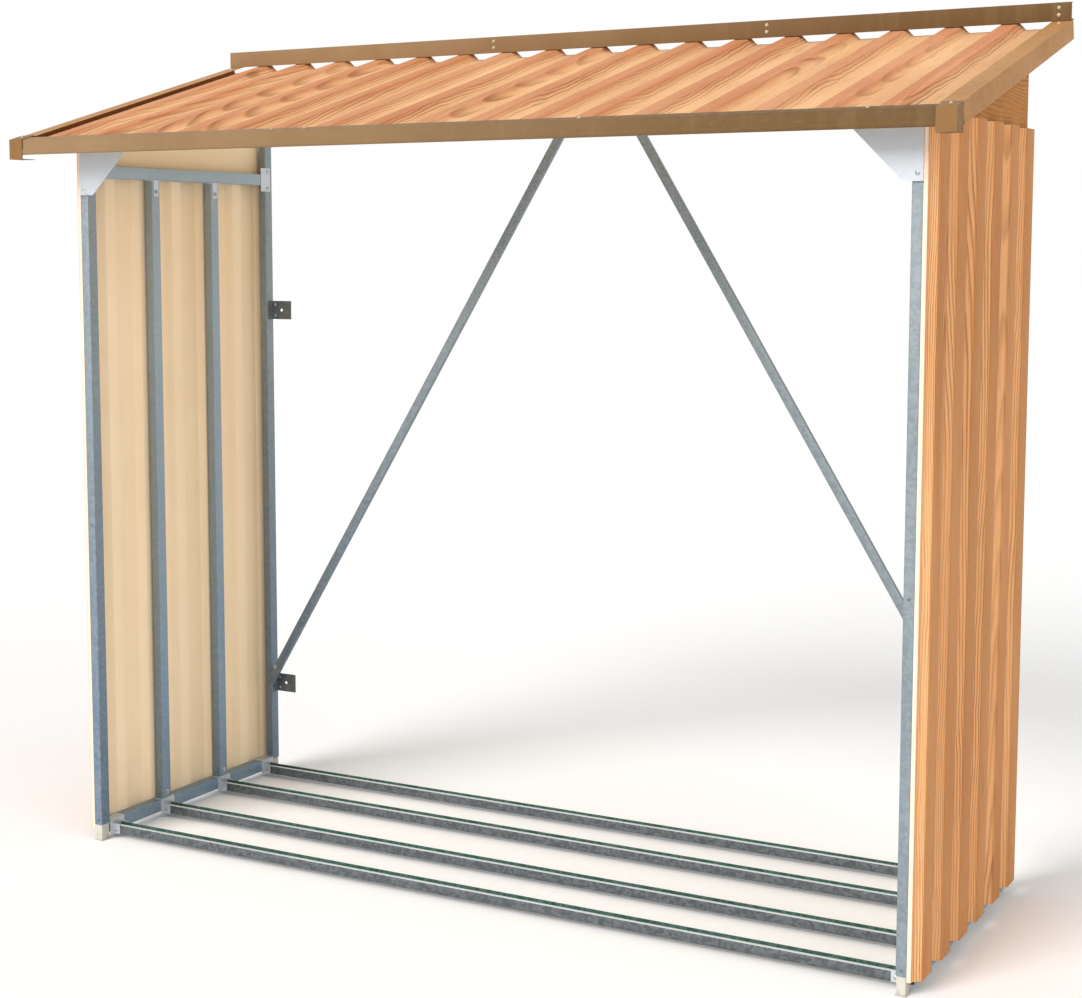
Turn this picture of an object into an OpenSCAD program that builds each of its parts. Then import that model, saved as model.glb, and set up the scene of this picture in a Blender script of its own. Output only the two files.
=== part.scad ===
// Open log store: a galvanised channel frame with ribbed steel side walls and a
// ribbed lean-to roof that falls to the front. X runs along the width, Y from
// the front to the back, Z up. The origin lies on the ground at the centre of
// the store's outer box.

/* [Frame] */
// Width over the outer faces of the corner posts
frame_w = 2240; // [1600:10:2600]
// Depth from the front face of the front posts to the rear face of the rear posts
frame_d = 800; // [720:10:1000]
// Pitch of the roof in degrees
roof_slope = 15.5; // [10:0.5:18]
// Height of the underside of the roof sheet at its front edge
eaves_z = 1838; // [1500:2:2100]
// Distance from the roof at the front posts down to the top rail of a wall
rail_drop = 77; // [70:1:140]

/* [Channel section] */
// Depth of the channel, over its web
web = 32; // [24:1:40]
// Width of the channel, over its flanges
flange = 24; // [20:1:30]
// Length of the turned-in lips
lip = 9; // [5:1:10]
// Thickness of the channel
channel_t = 1; // [0.8:0.1:2]

/* [Feet] */
// Height of a foot below its post
foot_h = 44; // [24:1:52]
// Thickness of the pad at the bottom of a foot
foot_pad_t = 4; // [2:1:8]
// How far a foot stands back from the faces of its post
foot_inset = 1.5; // [0.5:0.5:3]

/* [Walls] */
// Height of the underside of the base rail
base_rail_z = 18; // [14:1:30]
// Height of the underside of the floor rails
floor_rail_z = 12; // [6:1:13]
// Gap between a post and the nearest floor rail clip
clip_gap = 1; // [0.5:0.5:30]
// Height of the lower edge of a wall sheet
wall_sheet_z = 34; // [10:1:60]
// Distance between the posts and the wall sheets
wall_standoff = 9; // [4:1:30]
// Clearance between the top of a wall sheet and the roof at the front post
wall_sheet_drop = 12; // [6:1:30]
// Distance from the rear edge of a gable panel to the rear post's rear face
gable_setback = 20; // [6:1:44]
// How far a gable panel reaches below the top of the wall rail
gable_lap = 20; // [10:1:28]

/* [Ribbed sheet] */
// Thickness of the sheet
sheet_t = 0.5; // [0.4:0.1:1]
// Distance from rib to rib
rib_pitch = 137; // [130:1:150]
// Height of a rib
rib_h = 18; // [12:1:25]
// Width of the narrow flats
narrow_flat = 40; // [25:1:50]
// Width of the wide flats
wide_flat = 66; // [50:1:75]
// Least width of the flat at the front and rear edges of a wall sheet
wall_edge_flat = 4; // [2:1:20]
// Distance from the last rib to the right-hand edge of the roof
last_rib = 148; // [110:1:160]
// Least distance from the first rib to the left-hand edge of the roof
first_rib = 60; // [50:1:80]

/* [Roof edges] */
// How far the roof stands out past the frame at each side
side_overhang = 105; // [60:5:120]
// How far the roof stands out past the front posts
front_overhang = 142; // [80:2:200]
// How far the roof stands out past the rear posts
rear_overhang = 10; // [4:1:60]
// Thickness of the edge trims
trim_t = 0.8; // [0.6:0.1:1.5]
// Height of the fascia below the roof sheet
fascia_drop = 18; // [10:1:40]
// Depth of the fascia's top flange
fascia_top = 30; // [20:1:45]
// How far the upper part of the fascia stands back
fascia_step = 1.5; // [0.5:0.5:3]
// Depth of the fascia's bottom flange
fascia_bottom = 18; // [10:1:30]
// Height of the upright strip along the rear of the roof
ridge_h = 44; // [20:1:60]
// Distance from the rear edge of the roof to that strip
ridge_setback = 30; // [20:1:60]
// Width of the side trims on the roof
rake_top = 45; // [30:1:60]
// How far the side trims hang below the roof sheet
rake_drop = 25; // [10:1:40]
// Width of a corner cap along the fascia
cap_w = 40; // [30:1:60]
// Depth of a corner cap, front to back
cap_d = 46; // [36:1:60]
// Thickness of a corner cap
cap_t = 1.2; // [1:0.1:2]

/* [Brackets] */
// Thickness of brackets, clips and gussets
bracket_t = 1.5; // [1:0.1:3]
// How far a floor rail clip reaches past the floor rail at each side
clip_over = 12; // [4:1:20]
// Reach of a clip's cheeks along the floor rail
clip_reach = 22; // [12:1:40]
// Length of the plate on top of a stud
stud_plate_l = 60; // [40:1:90]
// Length of the tab down a stud
stud_tab_l = 42; // [20:1:60]
// Width of the tab down a stud
stud_tab_w = 20; // [12:1:24]
// Length of a joint plate where the top rail meets a post
joint_plate_l = 44; // [30:1:60]
// How far a joint plate reaches past the rail, above and below
joint_plate_over = 18; // [10:1:30]
// Width of a corner gusset along the header
gusset_w = 157; // [100:1:220]
// Width of a gusset at its lower end
gusset_foot = 42; // [30:1:60]
// Height of the straight upper edge of a gusset
gusset_rim = 40; // [20:1:60]
// Length of the turned-out lip at the foot of a gusset
gusset_lip = 6; // [3:1:10]

/* [Rear braces] */
// Face width of a brace
brace_w = 24; // [15:1:30]
// Depth of a brace
brace_d = 12; // [8:1:20]
// Height at which a brace's centre line meets its post
brace_foot_z = 290; // [200:5:600]
// Gap between the two braces where they meet
brace_gap = 4; // [2:1:20]

/* [Wall fixings] */
// Reach of a fixing plate from its post
fixing_reach = 65; // [50:1:100]
// Height of a fixing plate
fixing_h = 54; // [40:1:80]
// Diameter of the hole in a fixing plate
fixing_hole = 9; // [6:0.5:12]
// Distance from the post to the hole
fixing_hole_x = 31; // [20:1:34]
// Height of the lower holes
fixing_low_z = 276; // [150:1:500]
// Height of the upper holes
fixing_high_z = 1400; // [900:1:1500]

/* [Hidden] */
SIDES = ["left", "right"];

// Clearance between pieces that are screwed or hung together
fit_gap = 0.2;
// Length of a cut that has to pass right through a piece
through = 400;
galvanised = "lightsteelblue";
zinc_plate = "gainsboro";
timber_print = "peru";
tan_trim = "tan";

// Roof, measured up the slope from its front edge
half_w = frame_w / 2;
roof_half = half_w + side_overhang;
store_d = front_overhang + frame_d + rear_overhang;
front_y = -store_d / 2;
rear_y = store_d / 2;
post_front_y = front_y + front_overhang;
post_rear_y = post_front_y + frame_d;
fascia_y = front_y + cap_t + fit_gap;
sheet_front_y = fascia_y + trim_t + fascia_step + 0.5 + (rib_h + sheet_t) * sin(roof_slope);
roof_len = (rear_y - sheet_front_y) / cos(roof_slope);
lap_lift = sheet_t + 0.1;
crest_top = rib_h + sheet_t + lap_lift;
trim_seat = crest_top + fit_gap;
ridge_seat = trim_seat + trim_t + fit_gap;
rib_flank = (rib_pitch - narrow_flat - wide_flat) / 2;
wall_ribs = floor((frame_d + narrow_flat - 2 * wall_edge_flat) / rib_pitch);
wall_margin = (frame_d + narrow_flat - wall_ribs * rib_pitch) / 2;
roof_ribs = floor((2 * roof_half - last_rib - first_rib) / rib_pitch) + 1;

// Channels
inner_x = half_w - flange;
web_slope_h = web / cos(roof_slope);
rafter_gap = fit_gap / cos(roof_slope);
post_top_gap = 0.05;
rail_setback = web + clip_gap + clip_over;
clip_l = web + 2 * clip_over;
bay = (frame_d - web) / 3;
stud_y = [for (i = [1, 2]) post_front_y + i * bay];
rail_y = [
    post_front_y + rail_setback,
    stud_y[0],
    stud_y[1],
    post_rear_y - rail_setback - web
];
base_top = base_rail_z + web;
top_rail_z = roof_under(post_front_y) - rail_drop;
stud_foot = base_top + bracket_t;
stud_top = top_rail_z - web - bracket_t;
rail_end_x = inner_x - bracket_t - fit_gap;
wall_sheet_top = roof_under(post_front_y) - wall_sheet_drop;
gable_x = half_w + wall_standoff;
rail_flange = flange + wall_standoff;
wall_sheet_x = gable_x + 2 * sheet_t + fit_gap;
front_header_top = roof_under(post_front_y) - rafter_gap;
rear_header_top = roof_under(post_rear_y - flange) - rafter_gap;

// Rear braces, in the plane just in front of the rear header
brace_y = post_rear_y - flange - brace_d;
brace_top_z = rear_header_top - web / 2;
brace_run = inner_x - brace_gap / 2;
brace_rise = brace_top_z - brace_foot_z;
brace_angle = atan2(brace_rise, brace_run);

// Height of the underside of the roof sheet above a point at depth y
function roof_under(y) = eaves_z + (y - sheet_front_y) * tan(roof_slope);
// Height of a plane that lies a distance above that underside, square to it
function roof_level(y, above) = roof_under(y) + above / cos(roof_slope);

// Folded sheet: an outline that follows a path and has the thickness t on its left
function unit(v) = v / norm(v);
function left_of(v) = [-v[1], v[0]];
function side_normal(path, i) = left_of(unit(path[i + 1] - path[i]));
function corner_shift(path, i) =
    let (last = len(path) - 1,
         before = side_normal(path, max(i - 1, 0)),
         after = side_normal(path, min(i, last - 1)))
    (before + after) / (1 + before * after);
function folded(path, t) =
    concat(path, [for (i = [len(path) - 1 : -1 : 0]) path[i] + t * corner_shift(path, i)]);

// Lipped channel: web on the Y axis, flanges towards +X
module channel_outline(reach = flange) {
    polygon(folded([
        [reach, web - lip],
        [reach, web],
        [0, web],
        [0, 0],
        [reach, 0],
        [reach, lip]
    ], channel_t));
}

module upright(y, z0, z1) {
    translate([inner_x, y, z0])
        linear_extrude(height = z1 - z0)
            channel_outline();
}

// Runs an outline drawn in X and Z along Y
module along_y(y0, y1) {
    translate([0, y1, 0])
        rotate([90, 0, 0])
            linear_extrude(height = y1 - y0)
                children();
}

// Runs an outline drawn in Y and Z along X
module along_x(x0, x1) {
    translate([x0, 0, 0])
        rotate([90, 0, 90])
            linear_extrude(height = x1 - x0)
                children();
}

// Places a piece drawn up the slope, with Z square to the roof
module on_roof() {
    translate([0, sheet_front_y, eaves_z])
        rotate([roof_slope, 0, 0])
            children();
}

// Everything above the underside of the rafters
module over_rafters() {
    low = -rafter_gap - web_slope_h - post_top_gap;
    along_x(-through * 4, through * 4)
        polygon([
            [front_y - through, roof_under(front_y - through) + low],
            [rear_y + through, roof_under(rear_y + through) + low],
            [rear_y + through, roof_under(rear_y) + through * 2],
            [front_y - through, roof_under(rear_y) + through * 2]
        ]);
}

module right_post(y) {
    color(galvanised)
        difference() {
            upright(y, foot_h, roof_under(post_rear_y));
            over_rafters();
        }
}

module right_foot(y) {
    x0 = inner_x + foot_inset;
    y0 = y + foot_inset;
    width = flange - 2 * foot_inset;
    depth = web - 2 * foot_inset;
    color(zinc_plate) {
        translate([x0, y0, 0])
            cube([width, depth, foot_h]);
        translate([inner_x, y, 0])
            cube([flange, web, foot_pad_t]);
    }
}

module right_feet() {
    right_foot(post_front_y);
    right_foot(post_rear_y - web);
}

module right_stud(i) {
    color(galvanised)
        upright(stud_y[i], stud_foot, stud_top);
}

// Horizontal rail between the posts, web to the inside
module right_rail(z) {
    color(galvanised)
        translate([inner_x, 0, z])
            along_y(post_front_y + web, post_rear_y - web)
                channel_outline(rail_flange);
}

module right_rafter() {
    color(galvanised)
        intersection() {
            on_roof()
                translate([inner_x, 0, -web - fit_gap])
                    along_y(0, roof_len)
                        channel_outline();
            translate([inner_x - 1, post_front_y, 0])
                cube([flange + 2, frame_d, roof_under(rear_y)]);
        }
}

// Floor rail, open upwards, with a lip along its front edge only
module floor_rail(i) {
    y0 = rail_y[i];
    y1 = y0 + web;
    z0 = floor_rail_z;
    z1 = z0 + flange;
    color(galvanised)
        along_x(-rail_end_x, rail_end_x)
            polygon(folded([
                [y1, z1],
                [y1, z0],
                [y0, z0],
                [y0, z1],
                [y0 + lip, z1]
            ], -channel_t));
}

module right_clip(i) {
    middle = rail_y[i] + web / 2;
    y0 = middle - clip_l / 2;
    cheek_x = inner_x - bracket_t - clip_reach;
    cheek_h = flange + 2;
    color(zinc_plate) {
        translate([inner_x - bracket_t, y0, base_top])
            cube([flange + bracket_t, clip_l, bracket_t]);
        translate([inner_x - bracket_t, y0, floor_rail_z])
            cube([bracket_t, clip_l, base_top + bracket_t - floor_rail_z]);
        for (y = [rail_y[i] - fit_gap - bracket_t, rail_y[i] + web + fit_gap])
            translate([cheek_x, y, floor_rail_z])
                cube([clip_reach + bracket_t, bracket_t, cheek_h]);
    }
}

module floor_rail_clips() {
    for (i = [0 : 3]) {
        right_clip(i);
        mirror([1, 0, 0])
            right_clip(i);
    }
}

// Plate over a stud with a tab down its web
module right_stud_plate(i) {
    middle = stud_y[i] + web / 2;
    translate([inner_x - bracket_t, middle - stud_plate_l / 2, stud_top])
        cube([flange + bracket_t, stud_plate_l, bracket_t]);
    translate([inner_x - bracket_t, middle - stud_tab_w / 2, stud_top - stud_tab_l])
        cube([bracket_t, stud_tab_w, stud_tab_l + bracket_t]);
}

// Plate over the joint of the top rail with the post at y
module right_joint_plate(y) {
    z0 = top_rail_z - web - joint_plate_over;
    translate([inner_x - bracket_t, y - joint_plate_l / 2, z0])
        cube([bracket_t, joint_plate_l, web + 2 * joint_plate_over]);
}

module right_joint_plates() {
    color(zinc_plate) {
        right_stud_plate(0);
        right_stud_plate(1);
        right_joint_plate(post_front_y + web);
        right_joint_plate(post_rear_y - web);
    }
}

// Corner gusset on the front faces of the post and the header
module right_gusset() {
    top = roof_under(post_front_y - bracket_t) - rafter_gap;
    foot_z = top - gusset_rim - (gusset_w - gusset_foot);
    color(zinc_plate) {
        translate([0, post_front_y, 0])
            rotate([90, 0, 0])
                linear_extrude(height = bracket_t)
                    polygon([
                        [half_w, foot_z],
                        [half_w, top],
                        [half_w - gusset_w, top],
                        [half_w - gusset_w, top - gusset_rim],
                        [half_w - gusset_foot, foot_z]
                    ]);
        translate([inner_x, post_front_y - bracket_t - gusset_lip, foot_z])
            cube([flange, gusset_lip + bracket_t, bracket_t]);
    }
}

// Header between the rafters, web to the front
module header(y, top) {
    color(galvanised)
        along_x(-rail_end_x, rail_end_x)
            translate([y, top - web])
                channel_outline();
}

// Diagonal from the right-hand post up to the middle of the rear header
module right_brace() {
    reach = brace_run / cos(brace_angle);
    color(galvanised)
        intersection() {
            translate([inner_x, brace_y, brace_foot_z])
                rotate([0, brace_angle - 180, 0])
                    translate([-through / 4, 0, -brace_w / 2])
                        along_x(0, reach + through / 2)
                            polygon(folded([
                                [brace_d, brace_w],
                                [0, brace_w],
                                [0, 0],
                                [brace_d, 0]
                            ], channel_t));
            translate([brace_gap / 2, brace_y, brace_foot_z - through])
                cube([brace_run, brace_d, roof_under(brace_y) - rafter_gap - brace_foot_z + through]);
        }
}

// Angle plate on the post's web with a hole for a wall bolt
module right_wall_fixing(z) {
    hole_x = inner_x - fixing_hole_x;
    difference() {
        union() {
            translate([inner_x - fixing_reach, post_rear_y - bracket_t, z - fixing_h / 2])
                cube([fixing_reach, bracket_t, fixing_h]);
            translate([inner_x - bracket_t, post_rear_y - flange + fit_gap, z - fixing_h / 2])
                cube([bracket_t, flange - fit_gap, fixing_h]);
        }
        translate([hole_x, post_rear_y + 1, z])
            rotate([90, 0, 0])
                cylinder(d = fixing_hole, h = bracket_t + 2, $fn = 48);
    }
}

module right_wall_fixings() {
    color(zinc_plate) {
        right_wall_fixing(fixing_low_z);
        right_wall_fixing(fixing_high_z);
    }
}

// Ribbed wall sheet, wide flats outwards
module right_wall_sheet() {
    rib = [
        [0, wall_margin],
        [rib_h, wall_margin + rib_flank],
        [rib_h, wall_margin + rib_flank + wide_flat],
        [0, wall_margin + 2 * rib_flank + wide_flat]
    ];
    path = concat(
        [[0, 0]],
        [for (i = [0 : wall_ribs - 1]) for (p = rib) [p[0], p[1] + i * rib_pitch]],
        [[0, frame_d]]
    );
    flipped = [for (i = [len(path) - 1 : -1 : 0]) path[i]];
    color(timber_print)
        translate([wall_sheet_x, post_front_y, wall_sheet_z])
            linear_extrude(height = wall_sheet_top - wall_sheet_z)
                polygon(folded(flipped, -sheet_t));
}

// Flat panel between the top rail and the roof
module right_gable() {
    low = top_rail_z - gable_lap;
    back = post_rear_y - gable_setback;
    color(timber_print)
        along_x(gable_x, gable_x + sheet_t)
            polygon([
                [post_front_y, low],
                [back, low],
                [back, roof_under(back) - 2],
                [post_front_y, roof_under(post_front_y) - 2]
            ]);
}

// Place and outline of one rib of the roof, counted from the left
function roof_rib_x(i) = roof_half - last_rib - (roof_ribs - 1 - i) * rib_pitch;
function rib_points(i) = [
    [roof_rib_x(i) - narrow_flat / 2 - rib_flank, 0],
    [roof_rib_x(i) - narrow_flat / 2, rib_h],
    [roof_rib_x(i) + narrow_flat / 2, rib_h],
    [roof_rib_x(i) + narrow_flat / 2 + rib_flank, 0]
];

module roof_sheet(path) {
    color(timber_print)
        on_roof()
            along_y(0, roof_len)
                polygon(folded(path, sheet_t));
}

// A sheet ends part of the way over a rib, and the next one lies on top of it
lap_half = narrow_flat / 2 - 4;
lap_first = floor(roof_ribs / 3);
lap_second = round(2 * roof_ribs / 3);
lifted = rib_h + lap_lift;

module roof_sheet_left() {
    points = [for (i = [0 : lap_first - 1]) each rib_points(i)];
    start = rib_points(lap_first);
    roof_sheet(concat(
        [[-roof_half, 0]],
        points,
        [start[0], start[1], [roof_rib_x(lap_first) + lap_half, rib_h]]
    ));
}

module roof_sheet_middle() {
    begin = rib_points(lap_first);
    points = [for (i = [lap_first + 1 : lap_second - 1]) each rib_points(i)];
    end = rib_points(lap_second);
    roof_sheet(concat(
        [[roof_rib_x(lap_first) - lap_half, lifted], [begin[2][0], lifted], begin[3]],
        points,
        [end[0], end[1], [roof_rib_x(lap_second) + lap_half, rib_h]]
    ));
}

module roof_sheet_right() {
    begin = rib_points(lap_second);
    points = [for (i = [lap_second + 1 : roof_ribs - 1]) each rib_points(i)];
    roof_sheet(concat(
        [[roof_rib_x(lap_second) - lap_half, lifted], [begin[2][0], lifted], begin[3]],
        points,
        [[roof_half, 0]]
    ));
}

// Fascia that wraps the front edge of the roof sheets
module front_fascia() {
    face = fascia_y + trim_t;
    step_z = eaves_z - fascia_drop / 3;
    low = eaves_z - fascia_drop;
    top_back = face + fascia_top * cos(roof_slope);
    color(tan_trim)
        along_x(-roof_half + fit_gap, roof_half - fit_gap)
            polygon(folded([
                [top_back, roof_level(top_back, trim_seat)],
                [face + fascia_step, roof_level(face + fascia_step, trim_seat)],
                [face + fascia_step, step_z + fascia_step],
                [face, step_z],
                [face, low + trim_t],
                [face + fascia_bottom, low + trim_t]
            ], -trim_t));
}

// Upright strip across the rear of the roof
module rear_trim() {
    face = rear_y - ridge_setback;
    back = rear_y - 4;
    seat = roof_level(face, ridge_seat);
    hem = 10;
    color(tan_trim)
        along_x(-roof_half - trim_t, roof_half + trim_t)
            polygon(folded([
                [back, roof_level(back, ridge_seat)],
                [face, seat],
                [face, seat + ridge_h],
                [face + hem, seat + ridge_h]
            ], -trim_t));
}

// Trim along the right-hand edge of the roof
module right_rake_trim() {
    hem = 12;
    front = (cap_d - 4) / cos(roof_slope);
    color(tan_trim)
        on_roof()
            along_y(front, roof_len - rake_drop * tan(roof_slope) - 2)
                polygon(folded([
                    [roof_half - rake_top, trim_seat],
                    [roof_half + fit_gap, trim_seat],
                    [roof_half + fit_gap, -rake_drop],
                    [roof_half - hem, -rake_drop]
                ], trim_t));
}

// Cap over the corner of the fascia and the side trim, open inwards and behind
module right_corner_cap() {
    x0 = roof_half - cap_w;
    x1 = roof_half + fit_gap + trim_t + fit_gap;
    y0 = front_y + cap_t;
    y1 = front_y + cap_d;
    above = trim_seat + trim_t + 0.4;
    low = eaves_z - rake_drop - trim_t - 3;
    color(tan_trim)
        difference() {
            along_x(x0, x1 + cap_t)
                polygon([
                    [front_y, low - cap_t],
                    [y1, low - cap_t],
                    [y1, roof_level(y1, above + cap_t)],
                    [front_y, roof_level(front_y, above + cap_t)]
                ]);
            along_x(x0 - 1, x1)
                polygon([
                    [y0, low],
                    [y1 + 1, low],
                    [y1 + 1, roof_level(y1 + 1, above)],
                    [y0, roof_level(y0, above)]
                ]);
        }
}

module corner_caps() {
    right_corner_cap();
    mirror([1, 0, 0])
        right_corner_cap();
}

// Draws a right-hand piece on the side asked for
module on_side(side) {
    if (side == "left")
        mirror([1, 0, 0])
            children();
    else
        children();
}

on_side("left") right_post(post_front_y);  // front_left_post
right_post(post_front_y);  // front_right_post
on_side("left") right_post(post_rear_y - web);  // rear_left_post
right_post(post_rear_y - web);  // rear_right_post
on_side("left") right_feet();  // left_feet
right_feet();
on_side("left") right_stud(0);  // left_front_stud
on_side("left") right_stud(1);  // left_rear_stud
right_stud(0);  // right_front_stud
right_stud(1);  // right_rear_stud
on_side("left") right_rail(base_rail_z);  // left_base_rail
right_rail(base_rail_z);  // right_base_rail
on_side("left") right_rail(top_rail_z - web);  // left_top_rail
right_rail(top_rail_z - web);  // right_top_rail
floor_rail(0);  // floor_rail_1
floor_rail(1);  // floor_rail_2
floor_rail(2);  // floor_rail_3
floor_rail(3);  // floor_rail_4
floor_rail_clips();
on_side("left") right_joint_plates();  // left_joint_plates
right_joint_plates();
on_side("left") right_gusset();  // left_gusset
right_gusset();
on_side("left") right_brace();  // left_brace
right_brace();
on_side("left") right_wall_fixings();  // left_wall_fixings
right_wall_fixings();
header(post_front_y, front_header_top);  // front_header
header(post_rear_y - flange, rear_header_top);  // rear_header
on_side("left") right_rafter();  // left_rafter
right_rafter();
on_side("left") right_wall_sheet();  // left_wall_sheet
right_wall_sheet();
on_side("left") right_gable();  // left_gable
right_gable();
roof_sheet_left();
roof_sheet_middle();
roof_sheet_right();
front_fascia();
rear_trim();
on_side("left") right_rake_trim();  // left_rake_trim
right_rake_trim();
corner_caps();
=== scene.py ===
"""Looks of the open log store.

The galvanised frame and the printed steel sheets are dressed here: folds are
rounded, printed and painted faces get their own finishes, and the screws,
bolts and rivets are added. Lengths are in metres, in the store's own frame.
"""

from __future__ import annotations

import logging
import math
from dataclasses import dataclass
from enum import Enum
from typing import Callable, Iterable, Sequence

import bmesh
import bpy
from mathutils import Matrix, Vector

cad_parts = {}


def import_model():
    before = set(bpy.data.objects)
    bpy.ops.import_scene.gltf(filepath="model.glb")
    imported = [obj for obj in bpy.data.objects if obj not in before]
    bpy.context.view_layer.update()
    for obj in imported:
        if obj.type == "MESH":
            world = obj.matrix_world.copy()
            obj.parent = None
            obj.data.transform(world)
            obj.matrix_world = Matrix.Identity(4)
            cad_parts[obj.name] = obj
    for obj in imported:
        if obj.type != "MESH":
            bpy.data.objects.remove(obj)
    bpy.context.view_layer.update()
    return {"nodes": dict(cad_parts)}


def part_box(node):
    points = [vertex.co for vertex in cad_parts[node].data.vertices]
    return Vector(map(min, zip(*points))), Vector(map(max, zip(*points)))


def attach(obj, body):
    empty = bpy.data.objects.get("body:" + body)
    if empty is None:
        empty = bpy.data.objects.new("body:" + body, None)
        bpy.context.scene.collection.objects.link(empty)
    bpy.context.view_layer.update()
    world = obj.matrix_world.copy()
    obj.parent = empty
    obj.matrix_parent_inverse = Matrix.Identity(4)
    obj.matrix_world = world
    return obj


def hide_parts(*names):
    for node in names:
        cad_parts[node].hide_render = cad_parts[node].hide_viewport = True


log = logging.getLogger("log_store")

MM = 0.001
SIDES = ("left", "right")
ROOF_SLOPE = math.radians(15.5)
WHITE = (1.0, 1.0, 1.0, 1.0)
FORWARD = Vector((0, -1, 0))

# What counts as one point, one plane and one fold of sheet
SAME_POINT = 0.00001
SAME_PLANE = math.radians(0.5)
FOLD_ANGLE = 0.2
FOLD_LENGTH = 0.12

Color = tuple[float, float, float, float]
Display = tuple[float, float, float]
Seat = tuple[Vector, Vector]
Object = bpy.types.Object
Nodes = dict[str, Object]
Face = bmesh.types.BMFace
Material = bpy.types.Material
Socket = bpy.types.NodeSocket


class Run(Enum):
    """Which way the printed grain runs on a sheet."""

    UP_A_WALL = "wall"
    DOWN_THE_ROOF = "roof"
    ALONG_A_GABLE = "gable"


class Head(Enum):
    """The kinds of fastener head on the store."""

    HEX_WASHER = "hex_washer"
    PAN = "pan"
    RIVET = "rivet"
    BOLT = "bolt"


class Facing(Enum):
    """The side of a sheet that counts as its outside."""

    LEFT = (-1.0, 0.0, 0.0)
    RIGHT = (1.0, 0.0, 0.0)
    UP = (0.0, 0.0, 1.0)


# Small helpers


def tone(red: float, green: float, blue: float) -> Color:
    """Turns a colour given on the usual 0 to 255 display scale into linear light.

    Args:
        red: Display value of red.
        green: Display value of green.
        blue: Display value of blue.

    Returns:
        The linear colour with full opacity.
    """

    def linear(value: float) -> float:
        """Linear light of one display value."""
        share = value / 255
        return share / 12.92 if share <= 0.04045 else ((share + 0.055) / 1.055) ** 2.4

    return (linear(red), linear(green), linear(blue), 1.0)


def select_only(obj: Object) -> None:
    """Makes obj the one selected and active object."""
    bpy.ops.object.select_all(action="DESELECT")
    obj.select_set(True)
    bpy.context.view_layer.objects.active = obj


def edit_where(obj: Object, mode: str, wanted: Callable[[object], bool]) -> int:
    """Enters edit mode on obj and selects the elements that are wanted.

    Args:
        obj: The mesh object to edit.
        mode: "FACE" or "EDGE".
        wanted: Says of one face or edge whether it is selected.

    Returns:
        How many elements are selected. Edit mode is left on.
    """
    select_only(obj)
    bpy.ops.object.mode_set(mode="EDIT")
    bpy.ops.mesh.select_mode(type=mode)
    bpy.ops.mesh.select_all(action="DESELECT")
    mesh = bmesh.from_edit_mesh(obj.data)
    elements = mesh.faces if mode == "FACE" else mesh.edges
    count = 0
    for element in elements:
        if wanted(element):
            element.select_set(True)
            count += 1
    mesh.select_flush_mode()
    bmesh.update_edit_mesh(obj.data)
    return count


def leave_edit() -> None:
    """Goes back to object mode."""
    bpy.ops.object.mode_set(mode="OBJECT")


def smooth(obj: Object, degrees: float) -> None:
    """Shades obj smooth, except where its faces meet at more than degrees."""
    select_only(obj)
    bpy.ops.object.shade_smooth_by_angle(angle=math.radians(degrees))


def add(name: str, data: bpy.types.ID) -> Object:
    """A new object for data, linked into the scene."""
    obj = bpy.data.objects.new(name, data)
    bpy.context.scene.collection.objects.link(obj)
    return obj


def place_in_mesh(obj: Object, matrix: Matrix) -> None:
    """Moves the place of obj into its vertices, so obj itself stays at the origin."""
    obj.data.transform(matrix @ obj.matrix_basis)
    obj.matrix_basis = Matrix.Identity(4)


def join(parts: Sequence[Object], name: str) -> Object:
    """Joins parts into one object.

    Args:
        parts: The objects to join; the first one stays.
        name: Name of the joined object.

    Returns:
        The joined object.
    """
    bpy.ops.object.select_all(action="DESELECT")
    for part in parts:
        part.select_set(True)
    bpy.context.view_layer.objects.active = parts[0]
    if len(parts) > 1:
        bpy.ops.object.join()
    joined = parts[0]
    joined.name = name
    joined.data.name = name
    return joined


# Finishes


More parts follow.
